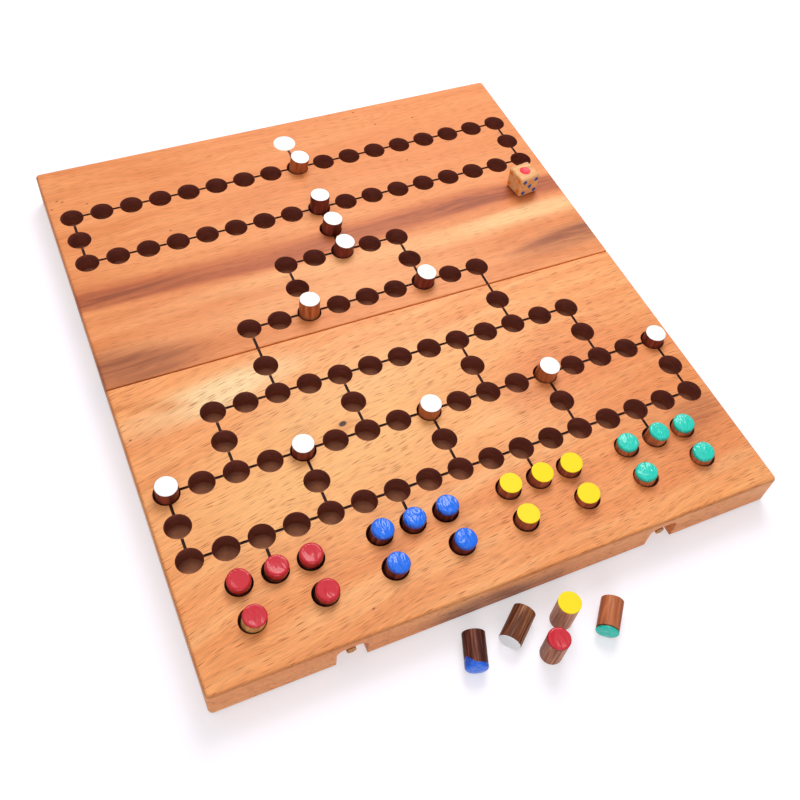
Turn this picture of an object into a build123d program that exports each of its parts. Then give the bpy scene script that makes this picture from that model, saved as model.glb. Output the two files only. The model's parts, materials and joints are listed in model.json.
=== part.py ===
from build123d import *
import os
from math import atan, cos, hypot, radians, sin

# Folding barricade board game in wood, laid out for play.
# Two solid halves hinge under each other along the middle seam. The playing faces carry blind
# sockets joined by engraved lines, and each underside has a shallow recess where the pegs and
# the die are kept when the board is shut. Every peg lifts out of its socket.
# Millimetres. X runs along the rows of sockets, +Y away from the players, +Z up, and z = 0 is
# the table. The board is drawn about the middle of its seam and moved at the end, so that the
# origin lies under the middle of the whole set, spare pegs included.

# Socket pattern
columns = 17
column_pitch = 15.0
row_pitch = 16.35
first_row = 11.65
goal_gap = 20.6
# How far the whole pattern sits beyond the seam
pattern_shift = 0.8
socket_diameter = 11.5
socket_depth = 9.5
line_width = 1.3
line_depth = 0.6
goal_diameter = 12.0
goal_thickness = 3.0

# Board halves
side_margin = 10.5
outer_margin = 21.9
board_thickness = 17.5
seam_gap = 0.5
corner_round = 2.0
outer_round = 1.5
lower_round = 0.6
seam_round = 0.6

# Storage recess in each underside
storage_depth = 6.0
storage_side_wall = 18.0
storage_seam_wall = 16.0
storage_corner = 6.0
storage_wall = 2.0

# Notches with a band pin, in the edge opposite the seam
notch_spacing = 144.6
notch_width = 13.5
notch_height = 13.0
notch_depth = 5.0
notch_round = 4.0
band_pin_diameter = 4.0
band_pin_seat = 8.0
band_pin_setback = 1.0
band_pin_height = 6.5
glue_gap = 0.05

# Butt hinges let into the undersides
hinge_spacing = 150.0
hinge_length = 30.0
leaf_width = 12.0
leaf_thickness = 0.5
hinge_pin_diameter = 1.0
hinge_pin_clearance = 0.05
knuckles = 5
knuckle_gap = 0.15
barrel_clearance = 0.4
leaf_clearance = 0.2
closing_gap = 0.3

# Hinge screws
screws_per_leaf = 2
screw_spacing = 18.0
screw_setback = 7.0
screw_diameter = 1.8
screw_head_diameter = 3.2
screw_head_height = 0.7
screw_length = 6.0
screw_clearance = 0.05
screw_slot_width = 0.4
screw_slot_depth = 0.25

# Pegs
peg_diameter = 9.8
peg_round = 0.4
peg_play = 0.2
peg_seat_gap = 0.05
house_peg_length = 14.5

# Die
die_edge = 12.0
die_round = 1.3
die_pip_diameter = 2.6
die_ace_diameter = 6.0
die_pip_depth = 0.35
die_pip_offset = 3.6
die_seat_gap = 0.05

# Playing rows, counted from the far edge: row number to the columns that have a socket
track = {
    1: range(0, 17),
    2: (0, 16),
    3: range(0, 17),
    4: (8,),
    5: range(6, 11),
    6: (6, 10),
    7: range(4, 13),
    8: (4, 12),
    9: range(2, 15),
    10: (2, 6, 10, 14),
    11: range(0, 17),
    12: (0, 4, 8, 12, 16),
    13: range(0, 17),
}
rows_per_half = (7, 8)
last_far_row = rows_per_half[0]
# Rows whose sockets are only joined to other rows
unjoined_rows = (2, 6, 8, 10, 12)

# Lines that run from the players' end to the far end: column to the rows they join
column_lines = {
    0: ((1, 3), (11, 13)),
    16: ((1, 3), (11, 13)),
    8: ((3, 5), (11, 13)),
    6: ((5, 7), (9, 11), (13, 14)),
    10: ((5, 7), (9, 11), (13, 14)),
    4: ((7, 9), (11, 13)),
    12: ((7, 9), (11, 13)),
    2: ((9, 11), (13, 14)),
    14: ((9, 11), (13, 14)),
}

# Houses: colour to its middle column. Three sockets in row 14 and two in row 15.
houses = {"red": 2, "blue": 6, "yellow": 10, "teal": 14}
house_places = ((-1, 14), (0, 14), (1, 14), (-1, 15), (1, 15))

# How the pegs in each house lean in their loose sockets, as a share of what the play allows
house_leans = {
    "red": ((-0.1, -0.5), (0.5, -0.3), (0.0, -0.2), (0.7, -0.6), (0.4, -0.8)),
    "blue": ((0.9, -0.2), (0.4, -0.1), (0.6, 0.3), (0.9, -0.1), (0.8, -0.3)),
    "yellow": ((0.1, -0.2), (0.3, -0.4), (-0.3, -0.6), (0.2, 0.2), (-0.8, -0.4)),
    "teal": ((-0.5, -0.1), (0.9, -0.2), (-0.7, -0.3), (-0.9, 0.0), (-0.9, -0.2)),
}

# Barricade pegs: column, row, length cut, and the lean as above
barricades = (
    (8, 1, 16.6, (0.8, -0.5)),
    (8, 3, 17.8, (0.3, 0.2)),
    (8, 4, 16.2, (0.7, -0.1)),
    (8, 5, 16.0, (0.7, -0.4)),
    (6, 7, 17.8, (0.2, 0.4)),
    (10, 7, 16.2, (0.7, -0.4)),
    (0, 11, 15.5, (0.3, -0.2)),
    (4, 11, 15.2, (-0.1, -0.1)),
    (8, 11, 15.4, (0.1, -0.2)),
    (12, 11, 16.2, (0.4, -0.5)),
    (16, 11, 14.8, (0.1, -0.2)),
)

# Spare pegs on the table in front: x, y from the seam, length, and for a lying peg the
# direction of its painted end in degrees from +X
standing_spares = {"yellow_peg_spare": (14.5, -164.3, 17.4), "red_peg_spare": (3.6, -175.6, 16.4)}
lying_spares = {
    "blue_peg_spare": (-26.4, -164.7, 15.8, -110.5),
    "teal_peg_spare": (32.3, -172.2, 15.3, -129.8),
    "barricade_spare": (-5.6, -161.5, 15.8, -141.0),
}
die_place = (109.3, 57.1, 7.3)

# Sizes that follow
barrel_radius = hinge_pin_diameter / 2 + hinge_pin_clearance + leaf_thickness
hinge_z = barrel_radius
underside_z = hinge_z + closing_gap / 2
top_z = underside_z + board_thickness
socket_floor_z = top_z - socket_depth
board_width = (columns - 1) * column_pitch + 2 * side_margin
half_depth = first_row + (rows_per_half[1] - 1) * row_pitch + outer_margin
peg_radius = peg_diameter / 2
socket_radius = socket_diameter / 2
overshoot = 1.0
level_tolerance = 0.01


def column_x(column):
    """The x of a column of sockets, with the middle column at zero."""
    return (column - (columns - 1) / 2) * column_pitch


def row_y(row):
    """The y of a row of sockets from the middle of the seam."""
    if row > last_far_row:
        return pattern_shift - first_row - (row - last_far_row - 1) * row_pitch
    return pattern_shift + first_row + (last_far_row - row) * row_pitch


goal_y = row_y(1) + goal_gap


def on_far_half(row):
    """True where a row lies beyond the seam."""
    return row <= last_far_row


def box_between(low, high):
    """A box from its lowest to its highest corner."""
    size = [b - a for a, b in zip(low, high)]
    centre = [(a + b) / 2 for a, b in zip(low, high)]
    return Pos(*centre) * Box(*size)


def rod(radius, length):
    """A round bar that stands on its lower end."""
    return Cylinder(radius, length, align=(Align.CENTER, Align.CENTER, Align.MIN))


# Board halves

def blank(side):
    """One plank with its rounded edges. side is +1 beyond the seam and -1 before it."""
    inner_y = side * seam_gap / 2
    outer_y = side * half_depth
    low = (-board_width / 2, min(inner_y, outer_y), underside_z)
    high = (board_width / 2, max(inner_y, outer_y), top_z)
    plank = box_between(low, high)
    upright = plank.edges().filter_by(Axis.Z)
    plank = fillet([e for e in upright if abs(e.center().Y - outer_y) < overshoot], corner_round)
    for face_z, radius in ((top_z, outer_round), (underside_z, lower_round)):
        level = [e for e in plank.edges() if abs(e.tangent_at(0.5).Z) < level_tolerance]
        rims = [e for e in level if abs(e.center().Z - face_z) < level_tolerance]
        plank = fillet([e for e in rims if abs(e.center().Y - inner_y) > overshoot], radius)
    seam = [e for e in plank.edges().filter_by(Axis.X) if abs(e.center().Y - inner_y) < overshoot]
    return fillet(seam, seam_round)


def sockets(side):
    """The holes for the pegs in one half."""
    holes = []
    for row, used in track.items():
        if on_far_half(row) == (side > 0):
            holes += [(column_x(column), row_y(row)) for column in used]
    if side < 0:
        for middle in houses.values():
            holes += [(column_x(middle + step), row_y(row)) for step, row in house_places]
    return [Pos(x, y, socket_floor_z) * rod(socket_radius, socket_depth + overshoot) for x, y in holes]


def line_cut(x0, y0, x1, y1):
    """The engraved line between two sockets, in a row or in a column."""
    half = line_width / 2
    low = (min(x0, x1) - half, min(y0, y1) - half, top_z - line_depth)
    high = (max(x0, x1) + half, max(y0, y1) + half, top_z + overshoot)
    return box_between(low, high)


def lines(side):
    """The engraved lines of one half. Lines that cross the seam end in its gap."""
    cuts = []
    for row, used in track.items():
        if on_far_half(row) == (side > 0) and row not in unjoined_rows and len(used) > 1:
            cuts.append(line_cut(column_x(used[0]), row_y(row), column_x(used[-1]), row_y(row)))
    spans = [(column, pair) for column, pairs in column_lines.items() for pair in pairs]
    for column, (first, last) in spans:
        near_y, far_y = row_y(last), row_y(first)
        if side > 0:
            near_y = max(near_y, 0.0)
        else:
            far_y = min(far_y, 0.0)
        if near_y < far_y:
            cuts.append(line_cut(column_x(column), near_y, column_x(column), far_y))
    if side > 0:
        cuts.append(line_cut(0.0, row_y(1), 0.0, goal_y))
    return cuts


def storage_recess(side):
    """The pocket in the underside where the pieces are kept."""
    outer_wall = notch_depth + band_pin_seat + storage_wall
    length = board_width - 2 * storage_side_wall
    depth = half_depth - storage_seam_wall - outer_wall
    middle = side * (storage_seam_wall + depth / 2)
    outline = Pos(0, middle, underside_z - overshoot) * RectangleRounded(length, depth, storage_corner)
    return extrude(outline, storage_depth + overshoot)


def notch(side, end):
    """An arched notch in the lower outer edge, with its rounded upper corners."""
    x = end * notch_spacing / 2
    inner_y = half_depth - notch_depth
    low = (x - notch_width / 2, inner_y, underside_z - overshoot)
    high = (x + notch_width / 2, half_depth + overshoot, underside_z + notch_height)
    block = box_between(low, high)
    upper = [e for e in block.edges().filter_by(Axis.Y) if e.center().Z > underside_z]
    block = fillet(upper, notch_round)
    return block if side > 0 else mirror(block, Plane.XZ)


def band_pin_bore(side, end):
    """The hole that a band pin is glued into."""
    return band_pin_shape(side, end, glue_gap, glue_gap)


def band_pin_shape(side, end, wider, longer):
    """A round pin along Y, seated behind the notch's back wall."""
    x = end * notch_spacing / 2
    seat_y = half_depth - notch_depth - band_pin_seat
    length = band_pin_seat + notch_depth - band_pin_setback
    pin = rod(band_pin_diameter / 2 + wider, length + longer)
    place = Plane((x, seat_y - longer, underside_z + band_pin_height), z_dir=(0, 1, 0))
    pin = place * pin
    return pin if side > 0 else mirror(pin, Plane.XZ)


def hinge_seat(side, end):
    """What a hinge needs cut from one half: the leaf's rebate, the barrel's groove and pilots."""
    x = end * hinge_spacing / 2
    reach = hinge_length / 2 + leaf_clearance
    rebate = box_between(
        (x - reach, 0.0, underside_z - overshoot),
        (x + reach, leaf_width + leaf_clearance, underside_z + leaf_thickness),
    )
    groove = Pos(x, 0, hinge_z) * Rot(0, 90, 0) * Cylinder(barrel_radius + barrel_clearance, 2 * reach)
    cuts = [rebate if side > 0 else mirror(rebate, Plane.XZ), groove]
    for place in screw_places(side, end):
        cuts.append(place * screw_body(screw_clearance, overshoot))
    return cuts


def board_half(side):
    """One finished half of the board."""
    cuts = sockets(side) + lines(side) + [storage_recess(side)]
    for end in (-1, 1):
        cuts += [notch(side, end), band_pin_bore(side, end)] + hinge_seat(side, end)
    if side > 0:
        seat = rod(goal_diameter / 2, goal_thickness + overshoot)
        cuts.append(Pos(0, goal_y, top_z - goal_thickness) * seat)
    return blank(side) - cuts


def goal_disc():
    """The inlaid disc that marks the goal, level with the playing face."""
    return Pos(0, goal_y, top_z - goal_thickness) * rod(goal_diameter / 2 - glue_gap, goal_thickness)


# Hinges

def screw_places(side, end):
    """Where the screws of one leaf go: head down, tip up into the wood."""
    step = screw_spacing / max(screws_per_leaf - 1, 1)
    first = end * hinge_spacing / 2 - screw_spacing / 2
    return [Pos(first + i * step, side * screw_setback, underside_z) for i in range(screws_per_leaf)]


def screw_body(wider=0.0, below=0.0):
    """A countersunk screw from its head's face up. below lets a cut start under the face."""
    head = screw_head_diameter / 2 + wider
    shank = screw_diameter / 2 + wider
    body = Pos(0, 0, screw_head_height / 2) * Cone(head, shank, screw_head_height)
    body += rod(shank, screw_length + wider)
    if below > 0:
        body += Pos(0, 0, -below) * rod(head, below)
    return body


def hinge_screws(side):
    """All the screws that hold the leaves of one half."""
    slot = Box(screw_head_diameter + overshoot, screw_slot_width, 2 * screw_slot_depth)
    screw = screw_body() - slot
    places = screw_places(side, -1) + screw_places(side, 1)
    return Compound([place * screw for place in places])


def hinge_leaf(side, end):
    """A leaf and its share of the knuckles. The near leaf has the outer knuckles."""
    x = end * hinge_spacing / 2
    knuckle = (hinge_length - (knuckles - 1) * knuckle_gap) / knuckles
    pitch = knuckle + knuckle_gap
    stop = barrel_radius + barrel_clearance
    leaf = box_between(
        (-hinge_length / 2, stop, underside_z),
        (hinge_length / 2, leaf_width, underside_z + leaf_thickness),
    )
    for i in range(knuckles):
        own = (i % 2 == 0) == (side < 0)
        if not own:
            continue
        start = -hinge_length / 2 + i * pitch
        end_x = start + knuckle
        leaf += box_between((start, 0.0, underside_z), (end_x, stop, underside_z + leaf_thickness))
        leaf += Pos(start + knuckle / 2, 0, hinge_z) * Rot(0, 90, 0) * Cylinder(barrel_radius, knuckle)
    bore = hinge_pin_diameter / 2 + hinge_pin_clearance
    leaf -= Pos(0, 0, hinge_z) * Rot(0, 90, 0) * Cylinder(bore, hinge_length + overshoot)
    leaf = leaf if side > 0 else mirror(leaf, Plane.XZ)
    leaf = Pos(x, 0, 0) * leaf
    return leaf - [place * screw_body(screw_clearance, overshoot) for place in screw_places(side, end)]


def hinge_pin(end):
    """The pin through all the knuckles of one hinge."""
    pin = Rot(0, 90, 0) * Cylinder(hinge_pin_diameter / 2, hinge_length)
    return Pos(end * hinge_spacing / 2, 0, hinge_z) * pin


# Pegs and die

def peg(length):
    """A turned peg standing on the origin, its ends eased."""
    bar = rod(peg_radius, length)
    return fillet(bar.edges().filter_by(GeomType.CIRCLE), peg_round)


def socketed_peg(column, row, length, lean):
    """A peg in its socket. lean is how far it leans to +X and +Y, as a share of the play."""
    play = socket_radius - peg_radius - peg_play
    slope = [2 * play * share / socket_depth for share in lean]
    tilt = atan(hypot(*slope))
    foot = (
        column_x(column) - play * lean[0],
        row_y(row) - play * lean[1],
        socket_floor_z + peg_seat_gap + peg_radius * sin(tilt),
    )
    return Plane(foot, z_dir=(slope[0], slope[1], 1.0)) * peg(length)


def lying_peg(x, y, length, heading):
    """A peg on its side on the table, its painted end towards heading."""
    ahead = (cos(radians(heading)), sin(radians(heading)), 0.0)
    start = (x - ahead[0] * length / 2, y - ahead[1] * length / 2, peg_radius)
    return Plane(start, z_dir=ahead) * peg(length)


def pip_places(count):
    """Where the pips of one face lie, in steps from its middle."""
    corners = ((-1, -1), (1, 1), (-1, 1), (1, -1))
    sides = ((-1, 0), (1, 0))
    middle = ((0, 0),)
    return {
        1: middle,
        2: corners[:2],
        3: corners[:2] + middle,
        4: corners,
        5: corners + middle,
        6: corners + sides,
    }[count]


def pip(diameter):
    """The ball that cuts one dished pip from a face that lies at z = 0."""
    radius = (diameter**2 / 4 + die_pip_depth**2) / (2 * die_pip_depth)
    return Pos(0, 0, radius - die_pip_depth) * Sphere(radius)


def die():
    """A rounded cube, one pip up and five towards the player."""
    half = die_edge / 2
    cube = Box(die_edge, die_edge, die_edge)
    cube = fillet(cube.edges(), die_round)
    faces = {1: (0, 0, 1), 6: (0, 0, -1), 5: (0, -1, 0), 2: (0, 1, 0), 4: (-1, 0, 0), 3: (1, 0, 0)}
    for count, out in faces.items():
        face = Plane([half * o for o in out], z_dir=out)
        size = die_ace_diameter if count == 1 else die_pip_diameter
        for u, v in pip_places(count):
            cube -= face * Pos(u * die_pip_offset, v * die_pip_offset, 0) * pip(size)
    x, y, turn = die_place
    return Pos(x, y, top_z + die_seat_gap + half) * Rot(0, 0, turn) * cube


# Every piece by name
pieces = {
    "near_board": board_half(-1),
    "far_board": board_half(1),
    "goal_disc": goal_disc(),
    "near_hinge_screws": hinge_screws(-1),
    "far_hinge_screws": hinge_screws(1),
    "die": die(),
}
for end, end_name in ((-1, "left"), (1, "right")):
    pieces[f"{end_name}_hinge_near_leaf"] = hinge_leaf(-1, end)
    pieces[f"{end_name}_hinge_far_leaf"] = hinge_leaf(1, end)
    pieces[f"{end_name}_hinge_pin"] = hinge_pin(end)
    pieces[f"near_{end_name}_band_pin"] = band_pin_shape(-1, end, 0.0, 0.0)
    pieces[f"far_{end_name}_band_pin"] = band_pin_shape(1, end, 0.0, 0.0)
for colour, middle in houses.items():
    for i, (step, row) in enumerate(house_places):
        lean = house_leans[colour][i]
        pieces[f"{colour}_peg_{i + 1}"] = socketed_peg(middle + step, row, house_peg_length, lean)
for i, (column, row, length, lean) in enumerate(barricades):
    pieces[f"barricade_{i + 1}"] = socketed_peg(column, row, length, lean)
for name, (x, y, length) in standing_spares.items():
    pieces[name] = Pos(x, y, 0) * peg(length)
for name, (x, y, length, heading) in lying_spares.items():
    pieces[name] = lying_peg(x, y, length, heading)

# The origin goes under the middle of the whole set
boxes = [piece.bounding_box() for piece in pieces.values()]
lowest_y = min(box.min.Y for box in boxes)
highest_y = max(box.max.Y for box in boxes)
seam_y = -(lowest_y + highest_y) / 2

os.makedirs("parts", exist_ok=True)
for name, piece in pieces.items():
    placed = Pos(0, seam_y, 0) * piece
    placed.label = name
    export_step(placed, f"parts/{name}.step")
print("seam at y", round(seam_y, 3), "underside", underside_z, "top", top_z, "half depth", half_depth)
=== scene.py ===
"""Looks of a folding wooden barricade board game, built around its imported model.

The two board halves, the hinges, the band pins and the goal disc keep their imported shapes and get
their finishes here. Every peg is made again as a turned dowel with its own dipped coat of paint, and
the die gets paint in its dished pips. All lengths in the dataclasses are millimetres. The board's own
frame has its origin on the playing face at the middle of the seam, x along the rows of sockets and y
away from the players. The studio's own lengths are metres.
"""

from __future__ import annotations

import json
import logging
import math
import random
from dataclasses import dataclass, field
from enum import Enum
from typing import Any

import bpy
import numpy as np
from mathutils import Matrix, Vector

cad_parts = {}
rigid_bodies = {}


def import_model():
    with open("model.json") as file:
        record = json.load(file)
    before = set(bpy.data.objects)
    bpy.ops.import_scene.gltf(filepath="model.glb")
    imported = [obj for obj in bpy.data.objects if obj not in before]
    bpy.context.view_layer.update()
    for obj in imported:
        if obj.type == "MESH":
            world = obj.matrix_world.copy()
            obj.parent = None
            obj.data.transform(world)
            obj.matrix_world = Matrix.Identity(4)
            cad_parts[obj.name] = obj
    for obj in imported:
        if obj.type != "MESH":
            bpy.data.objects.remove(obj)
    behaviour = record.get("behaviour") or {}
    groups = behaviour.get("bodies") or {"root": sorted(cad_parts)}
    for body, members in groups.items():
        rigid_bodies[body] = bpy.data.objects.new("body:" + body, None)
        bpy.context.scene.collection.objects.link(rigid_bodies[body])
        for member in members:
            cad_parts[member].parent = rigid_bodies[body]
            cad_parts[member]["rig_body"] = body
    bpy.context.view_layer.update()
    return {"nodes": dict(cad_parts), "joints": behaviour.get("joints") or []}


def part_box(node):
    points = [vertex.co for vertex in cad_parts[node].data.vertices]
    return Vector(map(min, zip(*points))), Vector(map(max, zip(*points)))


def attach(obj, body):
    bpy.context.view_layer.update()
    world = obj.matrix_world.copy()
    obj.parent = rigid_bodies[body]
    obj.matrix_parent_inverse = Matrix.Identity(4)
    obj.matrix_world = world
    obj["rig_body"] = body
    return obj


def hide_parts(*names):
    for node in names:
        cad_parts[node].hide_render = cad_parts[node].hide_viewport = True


LOG = logging.getLogger("barricade_game")
MM = 0.001

Socket = bpy.types.NodeSocket
Tree = bpy.types.NodeTree
Colour = tuple[float, float, float, float]

MATH = "ShaderNodeMath"
VECTOR = "ShaderNodeVectorMath"
SPLIT = "ShaderNodeSeparateXYZ"
JOIN = "ShaderNodeCombineXYZ"
COORDINATES = "ShaderNodeTexCoord"
ATTRIBUTE = "ShaderNodeAttribute"
MAPPING = "ShaderNodeMapping"
NOISE = "ShaderNodeTexNoise"
CELLS = "ShaderNodeTexVoronoi"
RANGE = "ShaderNodeMapRange"
MIX = "ShaderNodeMix"
RAMP = "ShaderNodeValToRGB"
BUMP = "ShaderNodeBump"
RAYS = "ShaderNodeLightPath"
LINE = "GeometryNodeCurvePrimitiveLine"
CIRCLE = "GeometryNodeCurvePrimitiveCircle"
RESAMPLE = "GeometryNodeResampleCurve"
SWEEP = "GeometryNodeCurveToMesh"
POSITION = "GeometryNodeInputPosition"
MOVE = "GeometryNodeSetPosition"
SMOOTH = "GeometryNodeSetShadeSmooth"
REALIZE = "GeometryNodeRealizeInstances"
FINISH = "GeometryNodeSetMaterial"
# Sockets of a colour Mix node: factor, the two colours and the result
FACTOR, FIRST, SECOND, MIXED = 0, 6, 7, 2
# Its settings to lay a colour over another, or to darken one by a shade
OVER = {"data_type": "RGBA"}
SHADE = {"data_type": "RGBA", "blend_type": "MULTIPLY"}
# A Map Range node's setting for a soft start and end
SOFT = {"interpolation_type": "SMOOTHSTEP"}


def linear(hex_colour: str) -> Colour:
    """Turns an sRGB hex colour to linear light.

    Args:
        hex_colour: The colour as "#RRGGBB".

    Returns:
        Red, green, blue and an alpha of one.
    """
    parts = [int(hex_colour[i : i + 2], 16) / 255 for i in (1, 3, 5)]
    light = [c / 12.92 if c <= 0.04045 else ((c + 0.055) / 1.055) ** 2.4 for c in parts]
    return (light[0], light[1], light[2], 1.0)


def add(
    tree: Tree,
    kind: str,
    links: dict[int | str, Any] | None = None,
    out: int | str | None = 0,
    stops: tuple[tuple[float, str], ...] = (),
    **settings: Any,
) -> Any:
    """Adds one node with its settings and links.

    Args:
        tree: The tree it goes into.
        kind: The node's type.
        links: Input socket, by name or number, to a value or to the output that feeds it.
        out: The output to hand back, or None for the node itself.
        stops: For a colour ramp, its positions and hex colours.
        settings: The node's own properties.

    Returns:
        The chosen output socket, or the node.
    """
    node = tree.nodes.new(kind)
    for name, value in settings.items():
        setattr(node, name, value)
    for i, (place, colour) in enumerate(stops):
        stop = node.color_ramp.elements[i] if i < 2 else node.color_ramp.elements.new(place)
        stop.position = place
        stop.color = linear(colour)
    for name, value in (links or {}).items():
        if isinstance(value, Socket):
            tree.links.new(value, node.inputs[name])
        else:
            node.inputs[name].default_value = value
    return node if out is None else node.outputs[out]


def new_finish(name: str) -> tuple[bpy.types.Material, Tree, bpy.types.Node]:
    """Starts a material with a principled shader.

    Args:
        name: The real material's name.

    Returns:
        The material, its tree and the shader node.
    """
    material = bpy.data.materials.new(name)
    material.use_nodes = True
    tree = material.node_tree
    tree.nodes.clear()
    shader = add(tree, "ShaderNodeBsdfPrincipled", out=None)
    add(tree, "ShaderNodeOutputMaterial", {"Surface": shader.outputs[0]}, out=None)
    return material, tree, shader


def dress(obj: bpy.types.Object, material: bpy.types.Material) -> None:
    """Gives every material slot of a piece the same finish.

    Args:
        obj: The piece.
        material: The finish.
    """
    if not obj.data.materials:
        obj.data.materials.append(material)
    for i in range(len(obj.data.materials)):
        obj.data.materials[i] = material


@dataclass(frozen=True)
class Layout:
    """Where the board's sockets and lines are, about the middle of their pattern."""

    column_pitch: float = 15.0
    row_pitch: float = 16.35
    first_row: float = 11.65
    last_row: float = 126.1
    goal_rows: float = 1.05
    reach_x: float = 127.0
    beyond_seam: float = 0.8
    socket_radius: float = 5.75
    socket_depth: float = 9.5
    line_width: float = 1.3
    line_depth: float = 0.6
    crossing_x: float = 60.0
    seam_reach: float = 1.8
    edge_x: float = 130.5
    edge_far: float = 147.2
    edge_near: float = 148.8
    middle_y: float = 0.0
    top_z: float = 0.0


@dataclass(frozen=True)
class Figure:
    """One patch of darker or lighter wood: a soft ellipse in the board's frame.

    ribbing is how far the growth lines break it up, and edge is where it starts to fade, as a share of
    its size. level is the height of its middle above the playing face, and depth its reach from there.
    """

    x: float
    y: float
    length: float
    width: float
    turn: float
    colour: str
    strength: float
    ribbing: float = 0.0
    edge: float = 0.25
    depth: float = 60.0
    level: float = 0.0

    def mask(self, tree: Tree, place: Socket) -> Socket:
        """How much of the patch shows at a place.

        Args:
            tree: The material's tree.
            place: Millimetres from the middle of the pattern.

        Returns:
            The share, from none to the strength.
        """
        spread = {
            "Vector": place,
            "Location": (self.x, self.y, self.level),
            "Rotation": (0.0, 0.0, math.radians(self.turn)),
            "Scale": (self.length / 2, self.width / 2, self.depth),
        }
        turned = add(tree, MAPPING, spread, vector_type="TEXTURE")
        far = add(tree, VECTOR, {0: turned}, out="Value", operation="LENGTH")
        fade = {0: far, 1: 1.0, 2: self.edge, 3: 0.0, 4: self.strength}
        return add(tree, RANGE, fade, **SOFT)


@dataclass(frozen=True)
class Ribbon:
    """A band of dark heartwood that runs the length of a plank and sways with the grain.

    wave is the length of one sway and crest is the x of its highest place.
    """

    y: float
    sway: float
    wave: float
    crest: float
    width: float
    colour: str
    strength: float
    ribbing: float = 0.5
    edge: float = 0.45

    def mask(self, tree: Tree, place: Socket) -> Socket:
        """How much of the ribbon shows at a place.

        Args:
            tree: The material's tree.
            place: Millimetres from the middle of the pattern.

        Returns:
            The share, from none to the strength.
        """
        parts = add(tree, SPLIT, {0: place}, out=None)
        turn = 2 * math.pi / self.wave
        angle = {0: parts.outputs[0], 1: turn, 2: -turn * self.crest}
        angle = add(tree, MATH, angle, operation="MULTIPLY_ADD")
        swing = add(tree, MATH, {0: angle}, operation="COSINE")
        middle = add(tree, MATH, {0: swing, 1: self.sway, 2: self.y}, operation="MULTIPLY_ADD")
        away = add(tree, MATH, {0: parts.outputs[1], 1: middle}, operation="SUBTRACT")
        away = add(tree, MATH, {0: away}, operation="ABSOLUTE")
        half = self.width / 2
        fade = {0: away, 1: half, 2: half * self.edge, 3: 0.0, 4: self.strength}
        return add(tree, RANGE, fade, **SOFT)


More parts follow.
